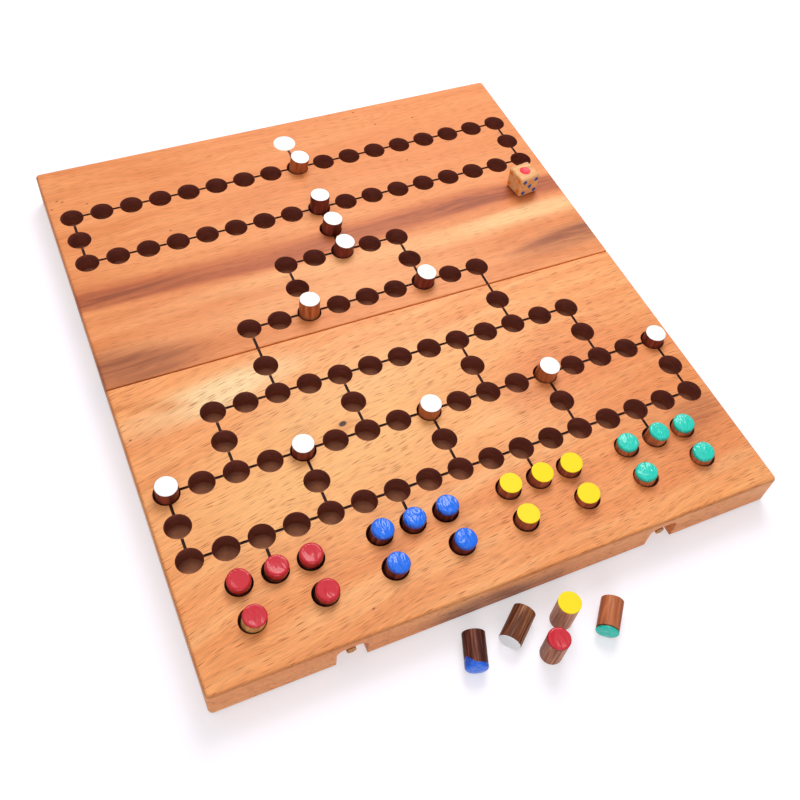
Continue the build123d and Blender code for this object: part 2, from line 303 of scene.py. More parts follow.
@dataclass(frozen=True)
class BoardWood:
    """Satin-lacquered rain tree heartwood, planed across a wavy grain that runs along x.

    To the eye it is warm orange tan, with broad soft bands, short dark pores and, on the far plank,
    ribbons of brown heartwood. The engraved lines are burnt to a dark maroon, and the sockets carry
    painted shade: dark maroon walls that pale downwards into a painted lit floor.
    """

    name: str
    layout: Layout
    tones: tuple[str, str, str]
    band: str
    pore: str
    slope: float
    bow: float
    pore_share: float
    figures: tuple[Figure | Ribbon, ...]
    knots: tuple[Figure, ...]
    seed: float
    band_strength: float = 0.16
    pore_strength: float = 0.55
    fibre_depth: float = 0.17
    rim_strength: float = 0.45
    rim_colour: str = "#7E4024"
    rim_width: float = 1.1
    line_colour: str = "#2A100A"
    # Sockets: the walls are painted dark as their shade, the floor pale as the light that reaches it
    socket_shade_colour: str = "#84463A"
    socket_lit_floor_colour: str = "#E09A72"
    drill_ring: float = 0.8
    lit_floor_radii: tuple[float, float] = (5.6, 2.6)
    planed_skin: float = 0.06
    line_slack: float = 0.1
    bore_slack: float = 0.15
    floor_slack: float = 0.3
    roughness: float = 0.46

    def build(self) -> bpy.types.Material:
        """Makes the material.

        Returns:
            The finished material.
        """
        material, tree, shader = new_finish(self.name)
        place = self._place(tree)
        flow = self._flow(tree, place)
        fibres = self._fibres(tree, flow)
        ribs = self._ribs(tree, flow)
        pores = self._pores(tree, flow, ribs)
        colour = self._surface(tree, place, flow, ribs)
        colour = self._grain_over(tree, place, colour, fibres, pores)
        layers = {FACTOR: self._rim(tree, place), FIRST: colour, SECOND: linear(self.rim_colour)}
        colour = add(tree, MIX, layers, MIXED, **OVER)
        colour, cut = self._cuts(tree, place, colour)
        tree.links.new(colour, shader.inputs["Base Color"])
        rough = add(tree, MATH, {0: pores, 1: 0.15, 2: self.roughness}, operation="MULTIPLY_ADD")
        rough = add(tree, MATH, {0: cut, 1: 0.3, 2: rough}, operation="MULTIPLY_ADD")
        tree.links.new(rough, shader.inputs["Roughness"])
        shader.inputs["Specular IOR Level"].default_value = 0.25
        relief = add(tree, MATH, {0: pores, 1: -0.4, 2: fibres}, operation="MULTIPLY_ADD")
        bump = add(tree, BUMP, {"Strength": 0.2, "Distance": 0.12 * MM, "Height": relief})
        tree.links.new(bump, shader.inputs["Normal"])
        return material

    def _place(self, tree: Tree) -> Socket:
        """Millimetres from the middle of the pattern, at the playing face.

        Args:
            tree: The material's tree.

        Returns:
            The place.
        """
        here = add(tree, COORDINATES, out="Object")
        shift = (0.0, -self.layout.middle_y, -self.layout.top_z)
        return add(tree, MAPPING, {"Vector": here, "Location": shift, "Scale": (1 / MM,) * 3})

    def _flow(self, tree: Tree, place: Socket) -> Socket:
        """The same frame bent so that the grain runs straight along x in it.

        Args:
            tree: The material's tree.
            place: Millimetres from the middle of the pattern.

        Returns:
            The place in the bent frame of the grain.
        """
        parts = add(tree, SPLIT, {0: place}, out=None)
        x, y, z = parts.outputs
        square = add(tree, MATH, {0: x, 1: x}, operation="MULTIPLY")
        lift = add(tree, MATH, {0: x, 1: -self.slope, 2: y}, operation="MULTIPLY_ADD")
        lift = add(tree, MATH, {0: square, 1: self.bow, 2: lift}, operation="MULTIPLY_ADD")
        bent = add(tree, JOIN, {0: x, 1: lift, 2: z})
        wide = {"Vector": bent, "Location": (self.seed, 0, 0), "Scale": (1 / 95, 1 / 34, 1 / 34)}
        broad = add(tree, MAPPING, wide)
        wave = add(tree, NOISE, {"Vector": broad, "Scale": 1.0, "Detail": 2.0, "Roughness": 0.5}, out=1)
        centred = add(tree, VECTOR, {0: wave, 1: (0.5, 0.5, 0.5)}, operation="SUBTRACT")
        pull = add(tree, VECTOR, {0: centred, 1: (0.0, 15.0, 8.0)}, operation="MULTIPLY")
        return add(tree, VECTOR, {0: bent, 1: pull}, operation="ADD")

    def _fibres(self, tree: Tree, flow: Socket) -> Socket:
        """Fibres half a millimetre apart and a centimetre long, coarser than real ones so that they show.

        Args:
            tree: The material's tree.
            flow: The place in the bent frame of the grain.

        Returns:
            How dark the fibre is, about a half.
        """
        fine = add(tree, MAPPING, {"Vector": flow, "Scale": (1 / 11, 1 / 0.5, 1 / 0.5)})
        return add(tree, NOISE, {"Vector": fine, "Scale": 1.0, "Detail": 3.0, "Roughness": 0.65})

    def _ribs(self, tree: Tree, flow: Socket) -> Socket:
        """Growth lines about 3 mm apart, from none to full.

        Args:
            tree: The material's tree.
            flow: The place in the bent frame of the grain.

        Returns:
            How dense the growth is.
        """
        narrow = {"Vector": flow, "Location": (2, self.seed, 9), "Scale": (1 / 120, 1 / 3.2, 1 / 3.2)}
        close = add(tree, MAPPING, narrow)
        rings = add(tree, NOISE, {"Vector": close, "Scale": 1.0, "Detail": 4.0, "Roughness": 0.65})
        return add(tree, RANGE, {0: rings, 1: 0.4, 2: 0.66, 3: 0.0, 4: 1.0}, **SOFT)

    def _pores(self, tree: Tree, flow: Socket, ribs: Socket) -> Socket:
        """Open pores: dashes about 5 mm long and 0.3 mm wide, closer together in the growth lines.

        Args:
            tree: The material's tree.
            flow: The place in the bent frame of the grain.
            ribs: The growth lines.

        Returns:
            One in a pore and none beside it.
        """
        size = {"Vector": flow, "Location": (self.seed, 3, 5), "Scale": (1 / 8, 1 / 0.5, 1 / 0.5)}
        cell = add(tree, MAPPING, size)
        dots = add(tree, CELLS, {"Vector": cell, "Scale": 1.0, "Randomness": 1.0}, out=None)
        near = {0: dots.outputs[0], 1: 0.42, 2: 0.1, 3: 0.0, 4: 1.0}
        dash = add(tree, RANGE, near, **SOFT)
        draw = add(tree, "ShaderNodeSeparateColor", {0: dots.outputs[1]})
        draw = add(tree, MATH, {0: ribs, 1: 0.22, 2: draw}, operation="MULTIPLY_ADD")
        kept = add(tree, RANGE, {0: draw, 1: 1.08 - self.pore_share, 2: 0.95, 3: 0.0, 4: 1.0})
        return add(tree, MATH, {0: dash, 1: kept}, operation="MULTIPLY")

    def _surface(self, tree: Tree, place: Socket, flow: Socket, ribs: Socket) -> Socket:
        """The broad colour of the planed faces, with its bands, ribbons and patches.

        Args:
            tree: The material's tree.
            place: Millimetres from the middle of the pattern.
            flow: The place in the bent frame of the grain.
            ribs: The growth lines.

        Returns:
            The colour.
        """
        wide = {"Vector": flow, "Location": (0, self.seed, 0), "Scale": (1 / 120, 1 / 15, 1 / 15)}
        broad = add(tree, MAPPING, wide)
        tone = add(tree, NOISE, {"Vector": broad, "Scale": 1.0, "Detail": 4.0, "Roughness": 0.6})
        light, middle, dark = self.tones
        colour = add(tree, RAMP, {0: tone}, stops=((0.36, light), (0.66, dark), (0.5, middle)))
        amount = add(tree, MATH, {0: ribs, 1: self.band_strength}, operation="MULTIPLY")
        colour = add(tree, MIX, {FACTOR: amount, FIRST: colour, SECOND: linear(self.band)}, MIXED, **OVER)
        drift = add(tree, VECTOR, {0: flow, 1: place}, operation="SUBTRACT")
        part = add(tree, VECTOR, {0: drift, "Scale": 0.35}, operation="SCALE")
        soft = add(tree, VECTOR, {0: place, 1: part}, operation="ADD")
        for figure in self.figures:
            mask = figure.mask(tree, soft)
            if figure.ribbing > 0:
                broken = add(tree, RANGE, {0: ribs, 1: 0.0, 2: 0.8, 3: 1 - figure.ribbing, 4: 1.0})
                mask = add(tree, MATH, {0: mask, 1: broken}, operation="MULTIPLY")
            layers = {FACTOR: mask, FIRST: colour, SECOND: linear(figure.colour)}
            colour = add(tree, MIX, layers, MIXED, **OVER)
        return colour

    def _grain_over(self, tree: Tree, place: Socket, colour: Socket, fibres: Socket, pores: Socket) -> Socket:
        """Lays the fibres, the pores and the pin knots over the broad colour.

        Args:
            tree: The material's tree.
            place: Millimetres from the middle of the pattern.
            colour: The broad colour.
            fibres: The fibres.
            pores: The pores.

        Returns:
            The colour.
        """
        low, high = 1 + 0.7 * self.fibre_depth, 1 - self.fibre_depth
        shade = add(tree, RANGE, {0: fibres, 1: 0.28, 2: 0.72, 3: low, 4: high})
        colour = add(tree, MIX, {FACTOR: 1.0, FIRST: colour, SECOND: shade}, MIXED, **SHADE)
        amount = add(tree, MATH, {0: pores, 1: self.pore_strength}, operation="MULTIPLY")
        colour = add(tree, MIX, {FACTOR: amount, FIRST: colour, SECOND: linear(self.pore)}, MIXED, **OVER)
        for knot in self.knots:
            layers = {FACTOR: knot.mask(tree, place), FIRST: colour, SECOND: linear(knot.colour)}
            colour = add(tree, MIX, layers, MIXED, **OVER)
        return colour

    def _cuts(self, tree: Tree, place: Socket, colour: Socket) -> tuple[Socket, Socket]:
        """Darkens the sockets and the engraved lines, which repeat with the columns and rows.

        Args:
            tree: The material's tree.
            place: Millimetres from the middle of the pattern.
            colour: The colour of the uncut wood.

        Returns:
            The colour with its cuts, and a mask that is one inside any cut.
        """
        parts = add(tree, SPLIT, {0: place}, out=None)
        across, deep = parts.outputs[0], parts.outputs[2]
        side = add(tree, MATH, {0: across}, operation="ABSOLUTE")
        away = add(tree, MATH, {0: parts.outputs[1]}, operation="ABSOLUTE")
        half_column = self.layout.column_pitch / 2
        half_row = self.layout.row_pitch / 2
        step_x = add(tree, MATH, {0: across, 1: half_column, 2: -half_column}, operation="WRAP")
        from_row = add(tree, MATH, {0: away, 1: self.layout.first_row}, operation="SUBTRACT")
        step_y = add(tree, MATH, {0: from_row, 1: half_row, 2: -half_row}, operation="WRAP")
        cell = add(tree, JOIN, {0: step_x, 1: step_y, 2: 0.0})
        radius = add(tree, VECTOR, {0: cell}, out="Value", operation="LENGTH")
        inside_x = add(tree, MATH, {0: side, 1: self.layout.reach_x}, operation="LESS_THAN")
        goal_y = self.layout.last_row + self.layout.goal_rows * self.layout.row_pitch
        inside_y = add(tree, MATH, {0: away, 1: goal_y}, operation="LESS_THAN")
        inside = add(tree, MATH, {0: inside_x, 1: inside_y}, operation="MULTIPLY")
        below = add(tree, MATH, {0: deep, 1: -self.planed_skin}, operation="LESS_THAN")
        below = add(tree, MATH, {0: below, 1: inside}, operation="MULTIPLY")
        off_seam = add(tree, MATH, {0: away, 1: self.layout.seam_reach}, operation="GREATER_THAN")
        crossing = {0: side, 1: self.layout.crossing_x, 2: self.layout.line_width}
        crossing = add(tree, MATH, crossing, operation="COMPARE")
        lined = add(tree, MATH, {0: off_seam, 1: crossing}, operation="MAXIMUM")
        groove = self._groove(tree, step_x, step_y, deep)
        for limit in (lined, below):
            groove = add(tree, MATH, {0: groove, 1: limit}, operation="MULTIPLY")
        layers = {FACTOR: groove, FIRST: colour, SECOND: linear(self.line_colour)}
        colour = add(tree, MIX, layers, MIXED, **OVER)
        bore_radius = self.layout.socket_radius + self.bore_slack
        bore = add(tree, MATH, {0: radius, 1: bore_radius}, operation="LESS_THAN")
        rows = add(tree, MATH, {0: away, 1: self.layout.last_row + half_row}, operation="LESS_THAN")
        clear = add(tree, MATH, {0: away, 1: self.layout.first_row - half_row}, operation="GREATER_THAN")
        lowest = -self.layout.socket_depth - self.floor_slack
        above_floor = add(tree, MATH, {0: deep, 1: lowest}, operation="GREATER_THAN")
        for limit in (rows, clear, above_floor, below):
            bore = add(tree, MATH, {0: bore, 1: limit}, operation="MULTIPLY")
        # Painted shade and light inside the sockets
        drilled = self._drilled(tree, place, radius, deep)
        colour = add(tree, MIX, {FACTOR: bore, FIRST: colour, SECOND: drilled}, MIXED, **OVER)
        cut = add(tree, MATH, {0: groove, 1: bore}, operation="MAXIMUM")
        return colour, cut

    def _rim(self, tree: Tree, place: Socket) -> Socket:
        """How far the rim colour covers the playing face's last millimetre and the top of its sides.

        Args:
            tree: The material's tree.
            place: Millimetres from the middle of the pattern.

        Returns:
            The share of the rim's own colour.
        """
        parts = add(tree, SPLIT, {0: place}, out=None)
        side = add(tree, MATH, {0: parts.outputs[0]}, operation="ABSOLUTE")
        aside = add(tree, MATH, {0: self.layout.edge_x, 1: side}, operation="SUBTRACT")
        beyond = add(tree, MATH, {0: self.layout.edge_far, 1: parts.outputs[1]}, operation="SUBTRACT")
        before = add(tree, MATH, {0: parts.outputs[1], 1: self.layout.edge_near}, operation="ADD")
        gap = add(tree, MATH, {0: beyond, 1: before}, operation="MINIMUM")
        gap = add(tree, MATH, {0: gap, 1: aside}, operation="MINIMUM")
        rim = add(tree, RANGE, {0: gap, 1: self.rim_width, 2: 0.2, 3: 0.0, 4: self.rim_strength})
        high = add(tree, RANGE, {0: parts.outputs[2], 1: -1.6, 2: -0.6, 3: 0.0, 4: 1.0})
        return add(tree, MATH, {0: rim, 1: high}, operation="MULTIPLY")

    def _groove(self, tree: Tree, step_x: Socket, step_y: Socket, deep: Socket) -> Socket:
        """One where an engraved line can be: near the middle of a column or row, and shallow.

        Args:
            tree: The material's tree.
            step_x: How far it is to the nearest column.
            step_y: How far it is to the nearest row.
            deep: The height above the playing face.

        Returns:
            One there and none elsewhere.
        """
        aside = add(tree, MATH, {0: step_x}, operation="ABSOLUTE")
        along = add(tree, MATH, {0: step_y}, operation="ABSOLUTE")
        nearest = add(tree, MATH, {0: aside, 1: along}, operation="MINIMUM")
        reach = self.layout.line_width / 2 + self.line_slack
        near = add(tree, MATH, {0: nearest, 1: reach}, operation="LESS_THAN")
        lowest = -self.layout.line_depth - self.line_slack
        shallow = add(tree, MATH, {0: deep, 1: lowest}, operation="GREATER_THAN")
        return add(tree, MATH, {0: near, 1: shallow}, operation="MULTIPLY")

    def _drilled(self, tree: Tree, place: Socket, radius: Socket, deep: Socket) -> Socket:
        """Painted shade and light in a socket: dark walls that pale downwards and towards the axis into a lit
        floor, with the rings of the drill's lip.

        Args:
            tree: The material's tree.
            place: Millimetres from the middle of the pattern.
            radius: How far it is from the socket's axis.
            deep: The height above the playing face.

        Returns:
            The colour inside a socket.
        """
        bottom = -self.layout.socket_depth
        mottle = add(tree, MAPPING, {"Vector": place, "Scale": (1 / 5, 1 / 5, 1 / 1.6)})
        patch = add(tree, NOISE, {"Vector": mottle, "Scale": 1.0, "Detail": 3.0})
        path = add(tree, MATH, {0: radius, 1: deep}, operation="ADD")
        wobble = add(tree, MATH, {0: patch, 1: 0.9, 2: path}, operation="MULTIPLY_ADD")
        turns = add(tree, MATH, {0: wobble, 1: 2 * math.pi / self.drill_ring}, operation="MULTIPLY")
        rings = add(tree, MATH, {0: turns}, operation="SINE")
        shade = add(tree, MATH, {0: rings, 1: 0.13, 2: 0.5}, operation="MULTIPLY_ADD")
        shade = add(tree, MATH, {0: patch, 1: 0.95, 2: shade}, operation="MULTIPLY_ADD")
        # Painted light and shade: the colour pales from the wall's towards the floor's with depth and towards
        # the axis
        low = add(tree, RANGE, {0: deep, 1: 0.35 * bottom, 2: bottom, 3: 0.0, 4: 0.75})
        edge, core = self.lit_floor_radii
        middle = add(tree, RANGE, {0: radius, 1: edge, 2: core, 3: 0.5, 4: 1.0}, **SOFT)
        pale = add(tree, MATH, {0: low, 1: middle}, operation="MULTIPLY")
        layers = {FACTOR: pale, FIRST: linear(self.socket_shade_colour), SECOND: linear(self.socket_lit_floor_colour)}
        colour = add(tree, MIX, layers, MIXED, **OVER)
        return add(tree, MIX, {FACTOR: 1.0, FIRST: colour, SECOND: shade}, MIXED, **SHADE)


class Grain(Enum):
    """Where a small wooden piece reads its grain from, and how it runs."""

    ATTRIBUTE = "the piece's own grain attribute, along its axis"
    OBJECT_Y = "object coordinates, along y"
    OBJECT_X = "object coordinates, along x"


@dataclass(frozen=True)
class DowelWood:
    """Small turned or sawn hardwood, oiled: straight grain with darker ribbons along the piece."""

    name: str
    tones: tuple[str, str, str]
    ribbon: float = 1.5
    grain: Grain = Grain.ATTRIBUTE
    roughness: float = 0.45
    contrast: tuple[float, float] = (0.32, 0.68)

    def build(self) -> bpy.types.Material:
        """Makes the material.

        Returns:
            The finished material.
        """
        material, tree, shader = new_finish(self.name)
        if self.grain is Grain.ATTRIBUTE:
            here = add(tree, ATTRIBUTE, out="Vector", attribute_name="grain")
        else:
            raw = add(tree, COORDINATES, out="Object")
            turn = (math.pi / 2, 0, 0) if self.grain is Grain.OBJECT_Y else (0, math.pi / 2, 0)
            here = add(tree, MAPPING, {"Vector": raw, "Rotation": turn, "Scale": (1 / MM, 1 / MM, 1 / MM)})
        wide = add(tree, MAPPING, {"Vector": here, "Scale": (1 / self.ribbon, 1 / self.ribbon, 1 / 26)})
        figure = {"Vector": wide, "Scale": 1.0, "Detail": 3.0, "Roughness": 0.6, "Distortion": 0.4}
        ribbons = add(tree, NOISE, figure)
        low, high = self.contrast
        dark, middle, light = self.tones
        spread = ((low, dark), (high, light), ((low + high) / 2, middle))
        colour = add(tree, RAMP, {0: ribbons}, stops=spread)
        fine = add(tree, MAPPING, {"Vector": here, "Scale": (1 / 0.35, 1 / 0.35, 1 / 7)})
        hairs = add(tree, NOISE, {"Vector": fine, "Scale": 1.0, "Detail": 2.0})
        shade = add(tree, RANGE, {0: hairs, 1: 0.3, 2: 0.7, 3: 0.84, 4: 1.12})
        colour = add(tree, MIX, {FACTOR: 1.0, FIRST: colour, SECOND: shade}, MIXED, **SHADE)
        tree.links.new(colour, shader.inputs["Base Color"])
        shader.inputs["Roughness"].default_value = self.roughness
        shader.inputs["Specular IOR Level"].default_value = 0.12
        bump = add(tree, BUMP, {"Strength": 0.25, "Distance": 0.08 * MM, "Height": hairs})
        tree.links.new(bump, shader.inputs["Normal"])
        return material


@dataclass(frozen=True)
class DippedEnamel:
    """Gloss enamel that a peg's end was dipped in: it pools at the rim and thins down the side, and its rim
    and side are painted in a darker copy of its colour as painted shade.
    """

    name: str
    colour: str
    side_shade_colour: str
    thin_colour: str
    wrinkle: float = 0.0
    wrinkle_pitch: float = 1.2
    roughness: float = 0.2
    gloss: float = 0.3

    def build(self) -> bpy.types.Material:
        """Makes the material.

        Returns:
            The finished material.
        """
        material, tree, shader = new_finish(self.name)
        here = add(tree, ATTRIBUTE, out="Vector", attribute_name="grain")
        run = add(tree, ATTRIBUTE, out="Fac", attribute_name="run")
        patchy = add(tree, MAPPING, {"Vector": here, "Scale": (1 / 1.6, 1 / 1.6, 1 / 1.6)})
        patch = add(tree, NOISE, {"Vector": patchy, "Scale": 1.0, "Detail": 2.0})
        worn = add(tree, MATH, {0: patch, 1: 0.5, 2: run}, operation="MULTIPLY_ADD")
        thin = add(tree, RANGE, {0: worn, 1: 0.75, 2: 1.35, 3: 0.0, 4: 1.0}, **SOFT)
        # Painted shade: the rim and the side take the darker side colour, as they turn from the light above
        down = add(tree, RANGE, {0: run, 1: 0.06, 2: 0.3, 3: 0.0, 4: 1.0}, **SOFT)
        layers = {FACTOR: down, FIRST: linear(self.colour), SECOND: linear(self.side_shade_colour)}
        colour = add(tree, MIX, layers, MIXED, **OVER)
        layers = {FACTOR: thin, FIRST: colour, SECOND: linear(self.thin_colour)}
        colour = add(tree, MIX, layers, MIXED, **OVER)
        tree.links.new(colour, shader.inputs["Base Color"])
        shader.inputs["Roughness"].default_value = self.roughness
        shader.inputs["Specular IOR Level"].default_value = self.gloss
        if self.wrinkle > 0:
            across, along = 1 / self.wrinkle_pitch, 0.4 / self.wrinkle_pitch
            close = add(tree, MAPPING, {"Vector": here, "Scale": (across, along, across)})
            folds = add(tree, NOISE, {"Vector": close, "Scale": 1.0, "Detail": 1.0, "Distortion": 0.8})
            relief = {"Strength": self.wrinkle, "Distance": 0.9 * MM, "Height": folds}
            bump = add(tree, BUMP, relief)
            tree.links.new(bump, shader.inputs["Normal"])
        return material


@dataclass(frozen=True)
class Brass:
    """Drawn brass sheet and wire with a little tarnish, brushed along x."""

    name: str
    colour: str = "#C9A14E"
    tarnish: str = "#8E6A2E"

    def build(self) -> bpy.types.Material:
        """Makes the material.

        Returns:
            The finished material.
        """
        material, tree, shader = new_finish(self.name)
        raw = add(tree, COORDINATES, out="Object")
        along, across = 1 / (9 * MM), 1 / (0.15 * MM)
        brushed = add(tree, MAPPING, {"Vector": raw, "Scale": (along, across, across)})
        hairs = add(tree, NOISE, {"Vector": brushed, "Scale": 1.0, "Detail": 2.0})
        cloudy = add(tree, MAPPING, {"Vector": raw, "Scale": (1 / (6 * MM),) * 3})
        cloud = add(tree, NOISE, {"Vector": cloudy, "Scale": 1.0, "Detail": 3.0})
        colour = add(tree, RAMP, {0: cloud}, stops=((0.35, self.tarnish), (0.6, self.colour)))
        tree.links.new(colour, shader.inputs["Base Color"])
        shader.inputs["Metallic"].default_value = 1.0
        rough = add(tree, RANGE, {0: hairs, 1: 0.2, 2: 0.8, 3: 0.24, 4: 0.42})
        tree.links.new(rough, shader.inputs["Roughness"])
        return material


@dataclass(frozen=True)
class ChalkWhite:
    """Opaque white paint on a wooden disc, brushed flat and sanded level."""

    name: str
    colour: str = "#F4F1EC"

    def build(self) -> bpy.types.Material:
        """Makes the material.

        Returns:
            The finished material.
        """
        material, tree, shader = new_finish(self.name)
        raw = add(tree, COORDINATES, out="Object")
        along, across = 1 / (2 * MM), 1 / (0.5 * MM)
        close = add(tree, MAPPING, {"Vector": raw, "Scale": (along, across, across)})
        patch = add(tree, NOISE, {"Vector": close, "Scale": 1.0, "Detail": 3.0})
        shade = add(tree, RANGE, {0: patch, 1: 0.3, 2: 0.7, 3: 0.96, 4: 1.0})
        colour = add(tree, MIX, {FACTOR: 1.0, FIRST: linear(self.colour), SECOND: shade}, MIXED, **SHADE)
        tree.links.new(colour, shader.inputs["Base Color"])
        shader.inputs["Roughness"].default_value = 0.5
        return material


def grow(
    tree: Tree, name: str, inputs: dict[str, Any], base: bpy.types.Mesh | None = None
) -> bpy.types.Object:
    """Runs a geometry tree once and keeps its result as a plain mesh.

    Args:
        tree: The geometry tree.
        name: The name of the piece.
        inputs: The tree's named inputs and their values.
        base: The mesh that goes in, where the tree reads one.

    Returns:
        An object at the origin with the finished mesh and no modifier.
    """
    start = base or bpy.data.meshes.new(name)
    obj = bpy.data.objects.new(name, start)
    bpy.context.scene.collection.objects.link(obj)
    modifier = obj.modifiers.new("grow", "NODES")
    modifier.node_group = tree
    sockets = {item.name: item.identifier for item in tree.interface.items_tree if item.in_out == "INPUT"}
    for label, value in inputs.items():
        modifier[sockets[label]] = value
    graph = bpy.context.evaluated_depsgraph_get()
    mesh = bpy.data.meshes.new_from_object(obj.evaluated_get(graph), depsgraph=graph)
    obj.modifiers.remove(modifier)
    obj.data = mesh
    bpy.data.meshes.remove(start)
    mesh.name = name
    return obj


def new_geometry_tree(
    name: str, inputs: dict[str, tuple[str, Any]]
) -> tuple[Tree, bpy.types.Node, bpy.types.Node]:
    """Starts a geometry tree with named inputs.

    Args:
        name: The tree's name.
        inputs: Input name to its socket type and default.

    Returns:
        The tree, its input node and its output node.
    """
    tree = bpy.data.node_groups.new(name, "GeometryNodeTree")
    tree.interface.new_socket("Geometry", in_out="OUTPUT", socket_type="NodeSocketGeometry")
    for label, (kind, default) in inputs.items():
        socket = tree.interface.new_socket(label, in_out="INPUT", socket_type=kind)
        if default is not None:
            socket.default_value = default
    start = add(tree, "NodeGroupInput", out=None)
    end = add(tree, "NodeGroupOutput", out=None)
    return tree, start, end


def dowel_tree() -> Tree:
    """A round bar with eased ends, swept along z, that carries its grain as an attribute.

    Returns:
        The geometry tree.
    """
    tree, start, end = new_geometry_tree(
        "turned_dowel",
        {
            "Radius": ("NodeSocketFloat", 4.9 * MM),
            "Length": ("NodeSocketFloat", 15 * MM),
            "Edge Round": ("NodeSocketFloat", 0.4 * MM),
            "Levels": ("NodeSocketInt", 40),
            "Sides": ("NodeSocketInt", 64),
            "Grain Shift": ("NodeSocketVector", (0.0, 0.0, 0.0)),
            "Finish": ("NodeSocketMaterial", None),
        },
    )
    radius, length, ease = start.outputs["Radius"], start.outputs["Length"], start.outputs["Edge Round"]
    line = add(tree, LINE, {"Start": (0, 0, 0), "End": (0, 0, 1)})
    line = add(tree, RESAMPLE, {"Curve": line, "Count": start.outputs["Levels"]})
    along = add(tree, "GeometryNodeSplineParameter", out="Factor")
    angle = add(tree, MATH, {0: along, 1: math.pi}, operation="MULTIPLY")
    wave = add(tree, MATH, {0: angle}, operation="COSINE")
    share = add(tree, MATH, {0: wave, 1: -0.5, 2: 0.5}, operation="MULTIPLY_ADD")
    height = add(tree, MATH, {0: share, 1: length}, operation="MULTIPLY")
    spot = add(tree, JOIN, {2: height})
    line = add(tree, MOVE, {"Geometry": line, "Position": spot})
    spot = add(tree, POSITION)
    height = add(tree, SPLIT, {0: spot}, out="Z")
    left = add(tree, MATH, {0: length, 1: height}, operation="SUBTRACT")
    end_gap = add(tree, MATH, {0: height, 1: left}, operation="MINIMUM")
    short = add(tree, MATH, {0: ease, 1: end_gap}, operation="SUBTRACT")
    short = add(tree, MATH, {0: short, 1: 0.0}, operation="MAXIMUM")
    short = add(tree, MATH, {0: short, 1: short}, operation="MULTIPLY")
    full = add(tree, MATH, {0: ease, 1: ease}, operation="MULTIPLY")
    rest = add(tree, MATH, {0: full, 1: short}, operation="SUBTRACT")
    rest = add(tree, MATH, {0: rest, 1: 0.0}, operation="MAXIMUM")
    arc = add(tree, MATH, {0: rest, 1: 0.5}, operation="POWER")
    core = add(tree, MATH, {0: radius, 1: ease}, operation="SUBTRACT")
    girth = add(tree, MATH, {0: core, 1: arc}, operation="ADD")
    ring = add(tree, CIRCLE, {"Resolution": start.outputs["Sides"], "Radius": 1.0})
    bar = add(tree, SWEEP, {"Curve": line, "Profile Curve": ring, "Scale": girth, "Fill Caps": True})
    bar = add(tree, SMOOTH, {"Geometry": bar})
    where = add(tree, POSITION)
    fibre = add(tree, VECTOR, {0: where, "Scale": 1 / MM}, operation="SCALE")
    fibre = add(tree, VECTOR, {0: fibre, 1: start.outputs["Grain Shift"]}, operation="ADD")
    kept = {"Geometry": bar, "Name": "grain", "Value": fibre}
    store = "GeometryNodeStoreNamedAttribute"
    bar = add(tree, store, kept, data_type="FLOAT_VECTOR", domain="POINT")
    bar = add(tree, REALIZE, {"Geometry": bar})
    bar = add(tree, FINISH, {"Geometry": bar, "Material": start.outputs["Finish"]})
    tree.links.new(bar, end.inputs[0])
    return tree


